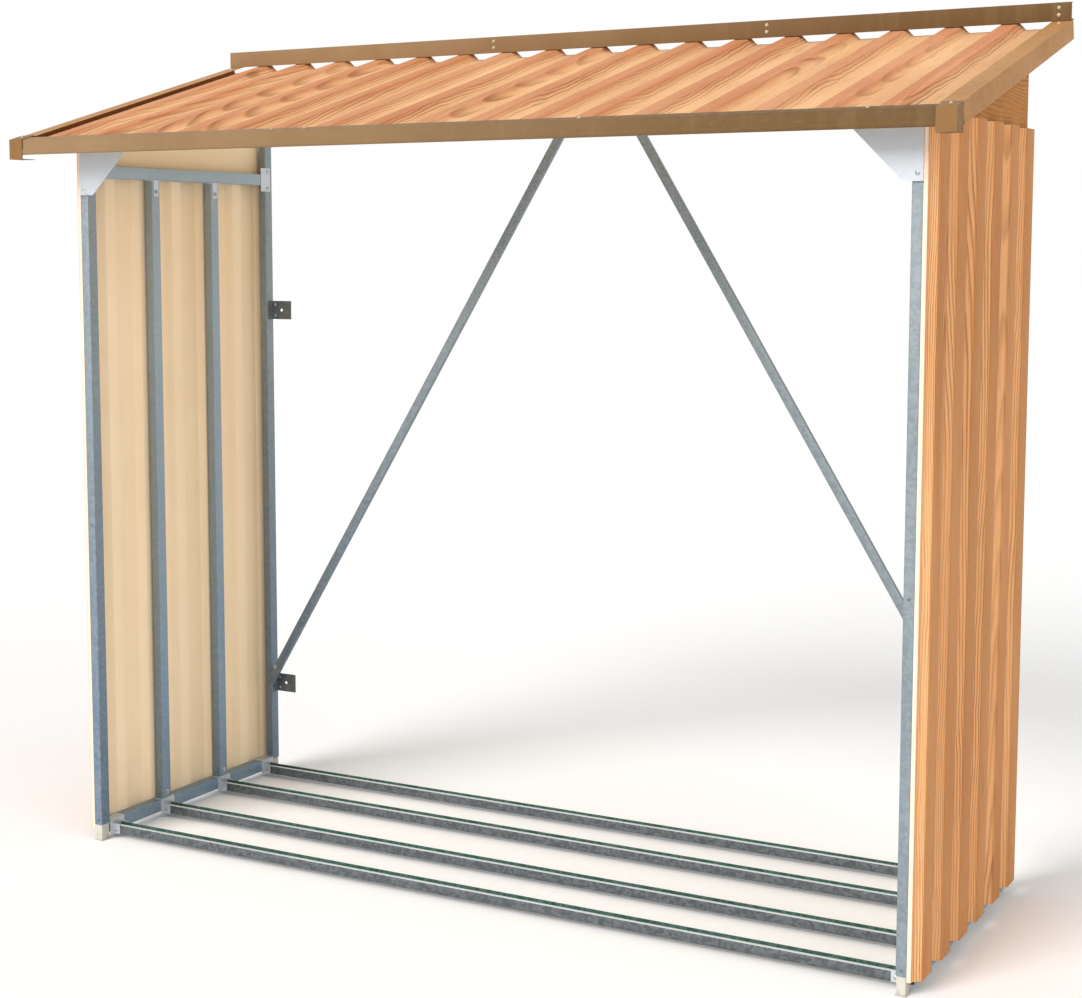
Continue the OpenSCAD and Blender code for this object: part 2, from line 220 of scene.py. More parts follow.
class Recipe:
    """A material while it is being mixed, with short calls for its nodes."""

    def __init__(self, name: str) -> None:
        """Starts an empty material called name."""
        self.material = bpy.data.materials.new(name)
        self.material.use_nodes = True
        self.tree = self.material.node_tree
        self.tree.nodes.clear()
        self.shader = self.tree.nodes.new("ShaderNodeBsdfPrincipled")
        output = self.tree.nodes.new("ShaderNodeOutputMaterial")
        self.join(self.shader.outputs[0], output.inputs["Surface"])
        self.place = self.tree.nodes.new("ShaderNodeTexCoord").outputs["Object"]

    def join(self, source: Socket, target: Socket) -> None:
        """Links one socket to another."""
        self.tree.links.new(source, target)

    def feed(self, target: Socket, value: object) -> None:
        """Gives target a link if value is a socket, else a constant."""
        if isinstance(value, Socket):
            self.join(value, target)
        else:
            target.default_value = value

    def math(self, operation: str, first: object, second: object = 0.0) -> Socket:
        """One step of arithmetic.

        Args:
            operation: Name of the operation, such as "ADD".
            first: Socket or number.
            second: Socket or number.

        Returns:
            The socket with the result.
        """
        node = self.tree.nodes.new("ShaderNodeMath")
        node.operation = operation
        self.feed(node.inputs[0], first)
        self.feed(node.inputs[1], second)
        return node.outputs[0]

    def split(self, vector: Socket) -> tuple[Socket, ...]:
        """The three parts of a vector."""
        node = self.tree.nodes.new("ShaderNodeSeparateXYZ")
        self.join(vector, node.inputs[0])
        return tuple(node.outputs)

    def vector(self, x: object, y: object, z: object = 0.0) -> Socket:
        """A vector made of three sockets or numbers."""
        node = self.tree.nodes.new("ShaderNodeCombineXYZ")
        for socket, value in zip(node.inputs, (x, y, z)):
            self.feed(socket, value)
        return node.outputs[0]

    def times(self, *parts: tuple[object, float]) -> list[Socket]:
        """Each part's socket times its own factor."""
        return [self.math("MULTIPLY", part, factor) for part, factor in parts]

    def stretched(self, *parts: tuple[object, float]) -> Socket:
        """A vector of three sockets, each times its own factor."""
        return self.vector(*self.times(*parts))

    def noise(self, scale: float, detail: float = 3.0, where: Socket | None = None) -> Socket:
        """Smooth noise between 0 and 1.

        Args:
            scale: Blobs to the metre.
            detail: Octaves of finer noise.
            where: Vector to read it at; the object's own place if left out.

        Returns:
            The socket with the noise.
        """
        node = self.tree.nodes.new("ShaderNodeTexNoise")
        self.join(where or self.place, node.inputs["Vector"])
        node.inputs["Scale"].default_value = scale
        node.inputs["Detail"].default_value = detail
        node.inputs["Roughness"].default_value = 0.55
        return node.outputs["Fac"]

    def cells(self, scale: float, where: Socket | None = None) -> bpy.types.Node:
        """Voronoi cells, scale of them to the metre."""
        node = self.tree.nodes.new("ShaderNodeTexVoronoi")
        self.join(where or self.place, node.inputs["Vector"])
        node.inputs["Scale"].default_value = scale
        return node

    def spread(
        self, value: object, low: float, high: float, to_low: float = 0.0, to_high: float = 1.0
    ) -> Socket:
        """Maps low..high smoothly onto to_low..to_high, and holds it outside.

        Args:
            value: Socket to map.
            low: Value that gives to_low.
            high: Value that gives to_high.
            to_low: Result at and below low.
            to_high: Result at and above high.

        Returns:
            The socket with the result.
        """
        node = self.tree.nodes.new("ShaderNodeMapRange")
        node.interpolation_type = "SMOOTHSTEP"
        for index, number in enumerate((value, low, high, to_low, to_high)):
            self.feed(node.inputs[index], number)
        return node.outputs[0]

    def blend(self, share: object, first: object, second: object) -> Socket:
        """Mixes two colours.

        Args:
            share: How much of the second shows.
            first: Socket or colour.
            second: Socket or colour.

        Returns:
            The socket with the mixed colour.
        """
        node = self.tree.nodes.new("ShaderNodeMix")
        node.data_type = "RGBA"
        self.feed(node.inputs["Factor"], share)
        self.feed(node.inputs[6], first)
        self.feed(node.inputs[7], second)
        return node.outputs[2]

    def relief(self, *layers: tuple[object, float]) -> None:
        """Adds bump from (height socket, depth in metres) layers.

        Args:
            *layers: Each a height between 0 and 1 and how deep a full step is.
        """
        below = None
        for height, depth in layers:
            node = self.tree.nodes.new("ShaderNodeBump")
            node.inputs["Strength"].default_value = 1.0
            node.inputs["Distance"].default_value = depth
            self.join(height, node.inputs["Height"])
            if below:
                self.join(below, node.inputs["Normal"])
            below = node.outputs[0]
        self.join(below, self.shader.inputs["Normal"])

    def surface(self, color: object, rough: object, metal: object = 0.0, sheen: float = 0.5) -> Material:
        """Sets colour, roughness, metal and mirror strength, and hands over the material."""
        self.shader.inputs["Specular IOR Level"].default_value = sheen
        self.feed(self.shader.inputs["Base Color"], color)
        self.feed(self.shader.inputs["Roughness"], rough)
        self.feed(self.shader.inputs["Metallic"], metal)
        return self.material


@dataclass(frozen=True)
class Galvanised:
    """Hot-dip zinc on steel, with spangle, handling marks and dull patches."""

    name: str
    color: Color
    shade: Color
    cool: Color | None = None
    spangle: float = 140.0
    metal: float = 0.45
    rough: float = 0.45

    def build(self) -> Material:
        """The finished material."""
        mix = Recipe(self.name)
        x, y, z = mix.split(mix.place)
        color = self.color
        if self.cool:
            leftward = mix.spread(x, -1.2, 1.3, 1.0, 0.25)
            downward = mix.spread(z, 0.0, 1.7, 0.85, 0.0)
            color = mix.blend(mix.math("MULTIPLY", downward, leftward), color, self.cool)
        cells = mix.cells(self.spangle)
        flake = mix.split(cells.outputs["Color"])[0]
        streak = mix.noise(1.0, 4.0, mix.stretched((x, 90.0), (y, 90.0), (z, 3.0)))
        color = mix.blend(mix.spread(mix.noise(3.0, 3.0), 0.3, 0.7, 0.0, 0.5), color, self.shade)
        color = mix.blend(mix.spread(flake, 0.0, 1.0, 0.0, 0.1), color, tone(214, 220, 224))
        color = mix.blend(mix.spread(streak, 0.55, 0.8, 0.0, 0.2), color, self.shade)
        bloom = mix.spread(mix.noise(38.0, 5.0), 0.62, 0.78, 0.0, 0.16)
        color = mix.blend(bloom, color, tone(196, 200, 202))
        flake_rough = mix.spread(flake, 0.0, 1.0, self.rough - 0.06, self.rough + 0.06)
        rough = mix.math("ADD", flake_rough, mix.math("MULTIPLY", bloom, 0.5))
        mix.relief((mix.noise(420.0, 2.0), 0.00004), (cells.outputs["Distance"], 0.00003))
        return mix.surface(color, rough, mix.math("SUBTRACT", self.metal, bloom))


@dataclass(frozen=True)
class Board:
    """One printed board's number and the chances drawn for it."""

    index: Socket
    heart: Socket
    offset: Socket
    tint: Socket

    @classmethod
    def draw(cls, mix: Recipe, index: Socket) -> Board:
        """Draws where the board's heart lies, where it starts and how warm it is.

        Args:
            mix: The material being mixed.
            index: The board's whole number.

        Returns:
            The board.
        """
        chance = mix.tree.nodes.new("ShaderNodeTexWhiteNoise")
        chance.noise_dimensions = "1D"
        mix.join(index, chance.inputs["W"])
        return cls(index, *mix.split(chance.outputs["Color"]))


@dataclass(frozen=True)
class WoodPrint:
    """Satin lacquer over a printed oak pattern on sheet steel."""

    name: str
    run: Run
    light: Color = tone(228, 170, 114)
    warm: Color = tone(206, 142, 88)
    deep: Color = tone(140, 80, 40)
    board: float = 0.137
    ring: float = 0.0055
    pan_at: float = 0.0
    turn_at: float = 0.0135
    rib: float = 0.0175
    # pan and crest: painted light on the pans and painted shade on the crests
    pan: Color = tone(250, 198, 146)
    crest: Color = tone(186, 130, 80)
    knot: Color = tone(118, 66, 38)

    def axes(self, mix: Recipe) -> tuple[Socket, Socket]:
        """Distances across and along the printed grain.

        Args:
            mix: The material being mixed.

        Returns:
            The sockets for across and along.
        """
        x, y, z = mix.split(mix.place)
        return {
            Run.UP_A_WALL: (mix.math("ADD", y, mix.math("MULTIPLY", x, 0.4)), z),
            Run.DOWN_THE_ROOF: (x, y),
            Run.ALONG_A_GABLE: (z, y),
        }[self.run]

    def crests(self, mix: Recipe, base: Socket) -> Socket:
        """Painted shade along the rib crests, and painted light on the pans between them.

        Args:
            mix: The material being mixed.
            base: The print's ground colour.

        Returns:
            The ground colour with painted shade on the crests and painted light on the pans.
        """
        x, y, z = mix.split(mix.place)
        if self.run is Run.DOWN_THE_ROOF:
            upright, downhill = mix.times((z, math.cos(ROOF_SLOPE)), (y, math.sin(ROOF_SLOPE)))
            above = mix.math("SUBTRACT", upright, downhill)
        else:
            above = mix.math("ABSOLUTE", x)
        start = self.pan_at + self.turn_at
        end = self.pan_at + self.rib
        pan = mix.spread(above, start, end, 0.5, 0.0)
        crest = mix.spread(above, start, end, 0.0, 0.55)
        return mix.blend(crest, mix.blend(pan, base, self.pan), self.crest)

    def rings(self, mix: Recipe, inside: Socket, along: Socket, board: Board) -> Socket:
        """Dark late wood of long rings cut at a shallow angle, which gives arched figure.

        Args:
            mix: The material being mixed.
            inside: Distance from the middle of the board.
            along: Distance along the board.
            board: The board's number and its chances.

        Returns:
            How much of the late wood shows, from 0 to 1.
        """
        slow = mix.noise(1.0, 2.0, mix.stretched((inside, 7.0), (along, 1.3), (board.index, 5.3)))
        fine = mix.noise(1.0, 3.0, mix.stretched((inside, 30.0), (along, 11.0), (board.index, 1.0)))
        wander = mix.math("MULTIPLY", mix.math("SUBTRACT", slow, 0.5), 0.055)
        tremble = mix.math("MULTIPLY", mix.math("SUBTRACT", fine, 0.5), 0.006)
        heart = mix.math("MULTIPLY", mix.math("SUBTRACT", board.heart, 0.5), 0.15)
        bend = mix.math("ADD", wander, tremble)
        sideways = mix.math("ADD", mix.math("ADD", inside, bend), heart)
        length = mix.math("PINGPONG", mix.math("ADD", along, mix.math("MULTIPLY", board.tint, 2.0)), 1.9)
        rise = mix.math("MULTIPLY", length, 0.03)
        square = mix.math("ADD", mix.math("MULTIPLY", sideways, sideways), mix.math("MULTIPLY", rise, rise))
        turns = mix.math("DIVIDE", mix.math("SQRT", square), self.ring)
        saw = mix.math("FRACT", turns)
        late = mix.math("MULTIPLY", mix.spread(saw, 0.35, 0.86), mix.spread(saw, 0.86, 1.0, 1.0, 0.0))
        return mix.math("MULTIPLY", late, mix.spread(turns, 1.4, 3.2))

    def build(self) -> Material:
        """The finished material."""
        mix = Recipe(self.name)
        across, along = self.axes(mix)
        strip = mix.math("ADD", mix.math("DIVIDE", across, self.board), 0.37)
        board = Board.draw(mix, mix.math("FLOOR", strip))
        inside = mix.math("MULTIPLY", mix.math("SUBTRACT", mix.math("FRACT", strip), 0.5), self.board)
        shifted = mix.math("ADD", along, mix.math("MULTIPLY", board.offset, 9.0))
        late = self.rings(mix, inside, shifted, board)
        # Ground colour, in clouds that run along the board
        cloud = mix.noise(1.0, 3.0, mix.vector(*mix.times((across, 9.0), (along, 1.6)), 3.0))
        base = mix.blend(mix.spread(cloud, 0.35, 0.68), self.light, self.warm)
        base = mix.blend(mix.math("MULTIPLY", board.tint, 0.35), base, self.warm)
        # Painted light on the pans and painted shade on the crests, by the rib's height
        if self.pan_at:
            base = self.crests(mix, base)
        # Late wood, stronger in some patches, and short dark pores
        patch = mix.noise(1.0, 2.0, mix.vector(*mix.times((across, 5.0), (along, 1.1)), 8.0))
        strength = mix.spread(patch, 0.35, 0.7, 0.22, 0.8)
        color = mix.blend(mix.math("MULTIPLY", late, strength), base, self.deep)
        pores = mix.noise(1.0, 2.0, mix.vector(*mix.times((across, 380.0), (along, 9.0)), board.index))
        color = mix.blend(mix.math("MULTIPLY", mix.spread(pores, 0.56, 0.72), 0.34), color, self.deep)
        # Sparse long knots
        knots = mix.cells(1.0, mix.vector(*mix.times((across, 5.0), (along, 1.5)), 2.0))
        knot = mix.spread(knots.outputs["Distance"], 0.02, 0.07, 0.55, 0.0)
        color = mix.blend(knot, color, self.knot)
        rough = mix.spread(mix.noise(60.0, 3.0), 0.3, 0.7, 0.50, 0.66)
        mix.relief((mix.noise(900.0, 2.0), 0.00003), (mix.noise(5.0, 2.0), 0.0006))
        return mix.surface(color, rough, sheen=0.06)


@dataclass(frozen=True)
class Paint:
    """Coil-coated or powder-coated paint with dust, faint scuffs and orange peel, and, where given, painted
    shade towards its right end.
    """

    name: str
    color: Color
    shade: Color
    right_end: Color | None = None
    rough: float = 0.45
    sheen: float = 0.06
    peel: float = 0.00004

    def build(self) -> Material:
        """The finished material."""
        mix = Recipe(self.name)
        cloud = mix.spread(mix.noise(4.0, 4.0), 0.35, 0.7, 0.0, 0.7)
        color = mix.blend(cloud, self.color, self.shade)
        x, y, z = mix.split(mix.place)
        # Darker towards the right end: painted shade where the light falls off along the trim
        if self.right_end:
            color = mix.blend(mix.spread(x, -0.9, 1.1), color, self.right_end)
        run = mix.noise(1.0, 3.0, mix.stretched((x, 26.0), (y, 26.0), (z, 1.4)))
        color = mix.blend(mix.spread(run, 0.5, 0.75, 0.0, 0.35), color, self.shade)
        scuff = mix.spread(mix.noise(90.0, 5.0), 0.55, 0.75, 0.0, 0.3)
        color = mix.blend(scuff, color, self.shade)
        rough = mix.spread(mix.noise(50.0, 3.0), 0.3, 0.7, self.rough - 0.06, self.rough + 0.1)
        mix.relief((mix.noise(700.0, 2.0), self.peel), (mix.noise(6.0, 2.0), 0.0005))
        return mix.surface(color, rough, sheen=self.sheen)


@dataclass(frozen=True)
class Moulding:
    """Off-white moulded plastic with a little dirt low down."""

    name: str
    color: Color = tone(192, 189, 180)

    def build(self) -> Material:
        """The finished material."""
        mix = Recipe(self.name)
        height = mix.split(mix.place)[2]
        low_down = mix.spread(height, 0.0, 0.03, 0.55, 0.05)
        dirt = mix.math("MULTIPLY", low_down, mix.spread(mix.noise(70.0, 4.0), 0.35, 0.7))
        color = mix.blend(dirt, self.color, tone(132, 122, 104))
        mix.relief((mix.noise(600.0, 2.0), 0.00005))
        return mix.surface(color, mix.spread(mix.noise(80.0, 3.0), 0.3, 0.7, 0.5, 0.68))


class Paintbox:
    """Every finish on the store, mixed once."""

    def __init__(self) -> None:
        """Mixes all the finishes."""
        self.frame = self.zinc_coat("galvanised", (134, 144, 149), (114, 125, 131), (84, 112, 140))
        # A lighter copy of the frame's zinc for studs and rails: painted light on faces the lamps barely
        # reach
        self.stud = self.zinc_coat("galvanised_stud_painted_light", (154, 168, 176), (132, 147, 156), (104, 134, 160))
        self.rail = self.zinc_coat("galvanised_rail", (78, 84, 88), (70, 75, 80))
        # Dark green painted shade for the shaded insides of the floor rails
        self.channel_inside_painted_shade = self.zinc_coat("rail_inside_painted_shade", (46, 92, 78), (30, 64, 54), metal=0.1, rough=0.5)
        self.zinc = self.zinc_coat("bright_zinc", (200, 205, 212), (184, 189, 196), spangle=90.0, rough=0.4)
        # A pale, less metallic zinc for the rails' top lips: painted highlight of the bright sky they face
        self.rail_lip_painted_highlight = self.zinc_coat("rail_lip_painted_highlight", (206, 214, 212), (186, 196, 194), metal=0.2)
        self.dull_plate = self.zinc_coat("dull_plate", (104, 114, 118), (84, 94, 98))
        self.fastener = self.zinc_coat(
            "fastener_zinc", (196, 198, 200), (150, 154, 158), spangle=500.0, metal=0.8, rough=0.3
        )
        # pan_at gives the wall painted light on its pans and painted shade on its crests
        self.wall_print = WoodPrint("wood_print_wall", Run.UP_A_WALL, pan_at=1.1302).build()
        self.roof_print = WoodPrint(
            "wood_print_roof",
            Run.DOWN_THE_ROOF,
            light=tone(232, 182, 134),
            warm=tone(208, 146, 98),
            deep=tone(138, 80, 46),
            ring=0.0047,
            # Painted light on the roof's pans and painted shade on its crests
            pan_at=1.8959,
            turn_at=0.004,
            pan=tone(246, 204, 154),
            crest=tone(202, 132, 96),
        ).build()
        # The gables take darker tones of the print: painted shade for the shadow under the roof's overhang
        self.gable_print_painted_shade = WoodPrint(
            "wood_print_gable_painted_shade",
            Run.ALONG_A_GABLE,
            light=tone(190, 134, 72),
            warm=tone(172, 112, 54),
            deep=tone(112, 62, 26),
            board=0.4,
            ring=0.009,
        ).build()
        self.cream = self.paint("cream_inside", (255, 232, 198), (250, 225, 190), rough=0.5)
        self.hem = self.paint("pale_hem", (246, 220, 200), (238, 208, 186), rough=0.5)
        # The fascia and rear strip grow darker towards the right: painted shade
        self.trim = self.paint("tan_trim_paint", (146, 118, 86), (134, 106, 75), right_end=tone(104, 78, 48))
        self.rake = self.paint("rake_paint", (180, 132, 82), (164, 118, 70))
        self.cap = self.paint("cap_paint", (138, 103, 66), (127, 93, 58))
        self.trim_screw = self.paint("screw_paint", (206, 192, 170), (184, 168, 144), rough=0.4)
        self.foot = Moulding("foot_moulding").build()
        self.floor = Recipe("pale_floor").surface(WHITE, 1.0)

    def zinc_coat(
        self, name: str, color: Display, shade: Display, cool: Display | None = None, **finish: float
    ) -> Material:
        """One galvanised finish.

        Args:
            name: The finish's name.
            color: Its colour as displayed.
            shade: Its darker patches.
            cool: The bluer colour of its lower end, if it has one.
            **finish: Spangle, metal and rough, where they differ.

        Returns:
            The finished material.
        """
        low_end = tone(*cool) if cool else None
        return Galvanised(name, tone(*color), tone(*shade), low_end, **finish).build()

    def paint(self, name: str, color: Display, shade: Display, **finish: object) -> Material:
        """One painted finish; finish holds right_end and rough, where they differ."""
        return Paint(name, tone(*color), tone(*shade), **finish).build()


# Folded sheet and channel


class FoldedPiece:
    """A copy of a CAD node with rounded folds, which stands for the node."""

    def __init__(self, nodes: Nodes, node: str, slot: str) -> None:
        """Copies the node.

        Args:
            nodes: The CAD nodes by name.
            node: The node to copy.
            slot: Name of a material slot; kept on the piece but not used.
        """
        self.node = node
        self.slot = slot
        mesh = nodes[node].data.copy()
        mesh.materials.clear()
        mesh.name = node + "_folded"
        self.obj = add(mesh.name, mesh)
        self.tidy()

    def tidy(self) -> None:
        """Merges the copy's doubles and turns its triangles into whole faces."""
        edit_where(self.obj, "FACE", lambda face: True)
        bpy.ops.mesh.select_all(action="SELECT")
        bpy.ops.mesh.remove_doubles(threshold=SAME_POINT)
        bpy.ops.mesh.dissolve_limited(angle_limit=SAME_PLANE)
        bpy.ops.mesh.normals_make_consistent(inside=False)
        leave_edit()

    def round_folds(self, radius: float, least_face: float, segments: int = 3) -> int:
        """Rounds every fold between two wide faces.

        Args:
            radius: How far the rounding reaches from the fold.
            least_face: Least width of the faces on both sides of a fold.
            segments: Steps in the rounding.

        Returns:
            How many folds were rounded.
        """

        def is_fold(edge: bmesh.types.BMEdge) -> bool:
            """True for a long edge between two wide faces at an angle."""
            if len(edge.link_faces) != 2 or edge.calc_face_angle(0.0) < FOLD_ANGLE:
                return False
            length = edge.calc_length()
            return length > FOLD_LENGTH and all(f.calc_area() / length > least_face for f in edge.link_faces)

        count = edit_where(self.obj, "EDGE", is_fold)
        if count:
            bpy.ops.mesh.bevel(offset=radius, segments=segments, affect="EDGES", clamp_overlap=True)
        leave_edit()
        smooth(self.obj, 35)
        return count

    def coat(self, *finishes: Material) -> None:
        """Gives the piece its finishes; faces keep the first until painted otherwise."""
        for finish in finishes:
            self.obj.data.materials.append(finish)

    def paint_where(self, index: int, wanted: Callable[[Face], bool]) -> None:
        """Paints the wanted faces with the finish at index.

        Args:
            index: Which finish.
            wanted: Says of one face whether it is painted.
        """
        self.obj.active_material_index = index
        if edit_where(self.obj, "FACE", wanted):
            self.obj.active_material_index = index
            bpy.ops.object.material_slot_assign()
        leave_edit()

    def hand_in(self) -> Object:
        """Lets the copy stand for its node and ride on the store."""
        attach(self.obj, "root")
        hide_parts(self.node)
        log.info("%s: %d faces", self.obj.name, len(self.obj.data.polygons))
        return self.obj


@dataclass
class Dresser:
    """What the dressers of the store's nodes share."""

    nodes: Nodes
    paints: Paintbox
    fold: float = 1.4 * MM
    least_face: float = 3.0 * MM

    def folded(self, node: str, slot: str) -> FoldedPiece:
        """A copy of node with its folds rounded, ready to be coated."""
        piece = FoldedPiece(self.nodes, node, slot)
        piece.round_folds(self.fold, self.least_face)
        return piece


@dataclass
class SteelFrame(Dresser):
    """Posts, studs, rails, headers, rafters and braces."""

    def members(self) -> list[str]:
        """Names of the nodes that are plain galvanised channel."""
        ends = ("_post", "_stud", "_base_rail", "_top_rail", "_header", "_rafter", "_brace")
        return sorted(name for name in self.nodes if name.endswith(ends))

    def build(self) -> None:
        """Rounds and coats every member."""
        for name in self.members():
            piece = self.folded(name, "galvanised_frame")
            # Studs and rails take the lighter copy: painted light
            piece.coat(self.paints.stud if name.endswith(("_stud", "_rail")) else self.paints.frame)
            piece.hand_in()


@dataclass
class FloorRails(Dresser):
    """The four open-topped rails that the logs lie on."""

    skin: float = 1.2 * MM

    def build(self) -> None:
        """Rounds and coats the rails; their inner faces get dark green painted shade and their top lips a
        painted highlight.
        """
        for number in range(1, 5):
            node = f"floor_rail_{number}"
            low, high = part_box(node)
            piece = self.folded(node, "galvanised_frame")
            piece.coat(self.paints.rail, self.paints.channel_inside_painted_shade, self.paints.rail_lip_painted_highlight)
            # Inner faces: painted shade
            piece.paint_where(1, lambda face: self.is_inside(face, low, high))
            # Top lips: painted highlight
            piece.paint_where(2, lambda face: self.is_lip(face, high.z))
            piece.hand_in()

    def is_lip(self, face: Face, top: float) -> bool:
        """True for a face on top of the rail, whose height is top."""
        return face.normal.z > 0.7 and face.calc_center_median().z > top - self.skin

    def is_inside(self, face: Face, low: Vector, high: Vector) -> bool:
        """True for a face inside the rail.

        Args:
            face: The face in question.
            low: Lowest corner of the rail.
            high: Highest corner of the rail.

        Returns:
            Whether the face looks into the rail.
        """
        middle = face.calc_center_median()
        within = low.y + self.skin * 0.5 < middle.y < high.y - self.skin * 0.5
        return within and low.z + self.skin * 0.5 < middle.z < high.z - self.skin * 0.5


@dataclass
class PrintedSheets(Dresser):
    """Wall sheets, gables and roof sheets: printed outside, cream inside."""

    fold: float = 2.5 * MM
    least_face: float = 8.0 * MM
    hem_t: float = 1.0 * MM
    hem_gap: float = 0.3 * MM

    def build(self) -> None:
        """Dresses every sheet."""
        for side, facing in zip(SIDES, (Facing.LEFT, Facing.RIGHT)):
            self.sheet(f"{side}_wall_sheet", facing, self.paints.wall_print)
            self.front_hem(side)
            # Gables: the print with painted shade
            self.sheet(f"{side}_gable", facing, self.paints.gable_print_painted_shade)
        for part in ("left", "middle", "right"):
            self.sheet(f"roof_sheet_{part}", Facing.UP, self.paints.roof_print)

    def sheet(self, node: str, facing: Facing, outside: Material) -> None:
        """Rounds one sheet's folds and coats both of its sides.

        Args:
            node: The sheet's node.
            facing: Which way its outside looks.
            outside: The finish on that side.
        """
        direction = Vector(facing.value)
        piece = self.folded(node, "wood_print_sheet")
        piece.coat(outside, self.paints.cream)
        piece.paint_where(1, lambda face: face.normal.dot(direction) < -0.1)
        piece.hand_in()

    def front_hem(self, side: str) -> None:
        """The pale turned-in front edge of a wall sheet, which closes the gap to the post.

        Args:
            side: "left" or "right".
        """
        low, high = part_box(f"{side}_wall_sheet")
        post_low, post_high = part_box(f"front_{side}_post")
        inner, outer = (post_high.x, low.x) if side == "right" else (post_low.x, high.x)
        inner, outer = sorted((inner, outer))
        reach = outer - inner - 2 * self.hem_gap
        size = Vector((reach, self.hem_t, high.z - low.z))
        middle = Vector(((inner + outer) / 2, low.y + self.hem_t / 2, (low.z + high.z) / 2))
        bpy.ops.object.select_all(action="DESELECT")
        bpy.ops.mesh.primitive_cube_add(size=1.0, location=middle)
        hem = bpy.context.object
        hem.scale = size
        place_in_mesh(hem, Matrix.Identity(4))
        edit_where(hem, "EDGE", lambda edge: edge.calc_length() > 1.0)
        bpy.ops.mesh.bevel(offset=self.hem_t * 0.3, segments=2, affect="EDGES")
        leave_edit()
        hem.name = hem.data.name = f"{side}_wall_sheet_hem"
        hem.data.materials.append(self.paints.hem)
        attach(hem, "root")
        log.info("%s: %.1f mm wide", hem.name, reach / MM)


@dataclass
class EdgeTrims(Dresser):
    """Fascia, rear strip, side trims and corner caps."""

    fold: float = 1.2 * MM

    def build(self) -> None:
        """Rounds and coats the trims."""
        finishes = {
            "front_fascia": self.paints.trim,
            "rear_trim": self.paints.trim,
            "left_rake_trim": self.paints.rake,
            "right_rake_trim": self.paints.rake,
            "corner_caps": self.paints.cap,
        }
        for node, finish in finishes.items():
            piece = self.folded(node, "tan_trim")
            piece.coat(finish)
            piece.hand_in()


@dataclass
class Fittings(Dresser):
    """Clips, joint plates, gussets, wall fixings and feet."""

    def build(self) -> None:
        """Coats the small pressed parts and the feet."""
        plates = ["floor_rail_clips"]
        for side in SIDES:
            plates += [f"{side}_joint_plates", f"{side}_gusset", f"{side}_wall_fixings"]
        for node in plates:
            piece = FoldedPiece(self.nodes, node, "zinc_fittings")
            piece.coat(self.paints.dull_plate if node.endswith("_wall_fixings") else self.paints.zinc)
            piece.hand_in()
        for side in SIDES:
            self.foot(f"{side}_feet")

    def foot(self, node: str) -> None:
        """Softens the edges of a pair of moulded feet."""
        piece = FoldedPiece(self.nodes, node, "foot_moulding")
        edit_where(piece.obj, "EDGE", lambda edge: edge.calc_face_angle(0.0) > 0.5)
        bpy.ops.mesh.bevel(offset=0.8 * MM, segments=2, affect="EDGES", clamp_overlap=True)
        leave_edit()
        smooth(piece.obj, 35)
        piece.coat(self.paints.foot)
        piece.hand_in()


# Fasteners


@dataclass
class Fastener:
    """A fastener head, modelled once and copied to its places."""

    head: Head
    radius: float
    height: float
    finish: Material
    slot: str

    def model(self) -> Object:
        """Models the head with its washer, seated at the origin and facing +Z."""
        washer = self.washer()
        if self.head is Head.RIVET:
            parts = [self.dome(self.radius * 0.95)]
        elif self.head is Head.PAN:
            parts = [self.dome(self.radius * 0.8)]
        else:
            parts = [self.hexagon()]
        return join([washer, *parts], f"{self.head.value}_pattern")

    def drum(self, sides: int, radius: float, base: float, tall: float) -> Object:
        """A plain drum to work a head from.

        Args:
            sides: Sides of its outline.
            radius: Its radius.
            base: Height of its underside.
            tall: Its own height.

        Returns:
            The drum.
        """
        bpy.ops.object.select_all(action="DESELECT")
        middle = (0, 0, base + tall / 2)
        bpy.ops.mesh.primitive_cylinder_add(vertices=sides, radius=radius, depth=tall, location=middle)
        return bpy.context.object

    def shape_top(self, drum: Object, radius: float, *steps: tuple[float, float]) -> Object:
        """Insets and lifts a drum's top, step by step.

        Args:
            drum: The drum.
            radius: What the insets are shares of.
            *steps: Each an inset, and a lift as a share of the head's height.

        Returns:
            The drum, with its place moved into its mesh.
        """
        edit_where(drum, "FACE", lambda face: face.normal.z > 0.9)
        for inset, lift in steps:
            bpy.ops.mesh.inset(thickness=radius * inset)
            bpy.ops.transform.translate(value=(0, 0, self.height * lift))
        leave_edit()
        place_in_mesh(drum, Matrix.Identity(4))
        return drum

    def washer(self) -> Object:
        """A flat flange with a softened rim."""
        disc = self.drum(16, self.radius, 0.0, self.height * 0.22)
        return self.shape_top(disc, self.radius, (0.1, 0.055))

    def hexagon(self) -> Object:
        """A six-sided head with a pressed-in top."""
        nut = self.drum(6, self.radius * 0.62, self.height * 0.2, self.height * 0.8)
        return self.shape_top(nut, self.radius, (0.09, 0.08), (0.16, -0.12))

    def dome(self, radius: float) -> Object:
        """A rounded head of that radius; a screw has a recess in its crown."""
        crown = self.drum(16, radius, self.height * 0.2, self.height * 0.4)
        steps = [(0.2, 0.22), (0.4, 0.1)]
        if self.head is Head.PAN:
            steps.append((0.1, -0.4))
        return self.shape_top(crown, radius, *steps)

    def set_in(self, name: str, places: Iterable[Seat]) -> Object:
        """Copies the head to its places and joins the copies.

        Args:
            name: Name of the group.
            places: Pairs of seat and outward direction.

        Returns:
            The joined fasteners.
        """
        pattern = self.model()
        copies = []
        for number, (seat, out) in enumerate(places):
            copy = add(f"{name}_{number}", pattern.data.copy())
            turn = out.to_track_quat("Z", "Y").to_matrix().to_4x4()
            spin = Matrix.Rotation(0.7 * number, 4, "Z")
            place_in_mesh(copy, Matrix.Translation(seat) @ turn @ spin)
            copies.append(copy)
        bpy.data.objects.remove(pattern)
        group = join(copies, name)
        group.data.materials.clear()
        group.data.materials.append(self.finish)
        smooth(group, 32)
        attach(group, "root")
        log.info("%s: %d heads", name, len(copies))
        return group


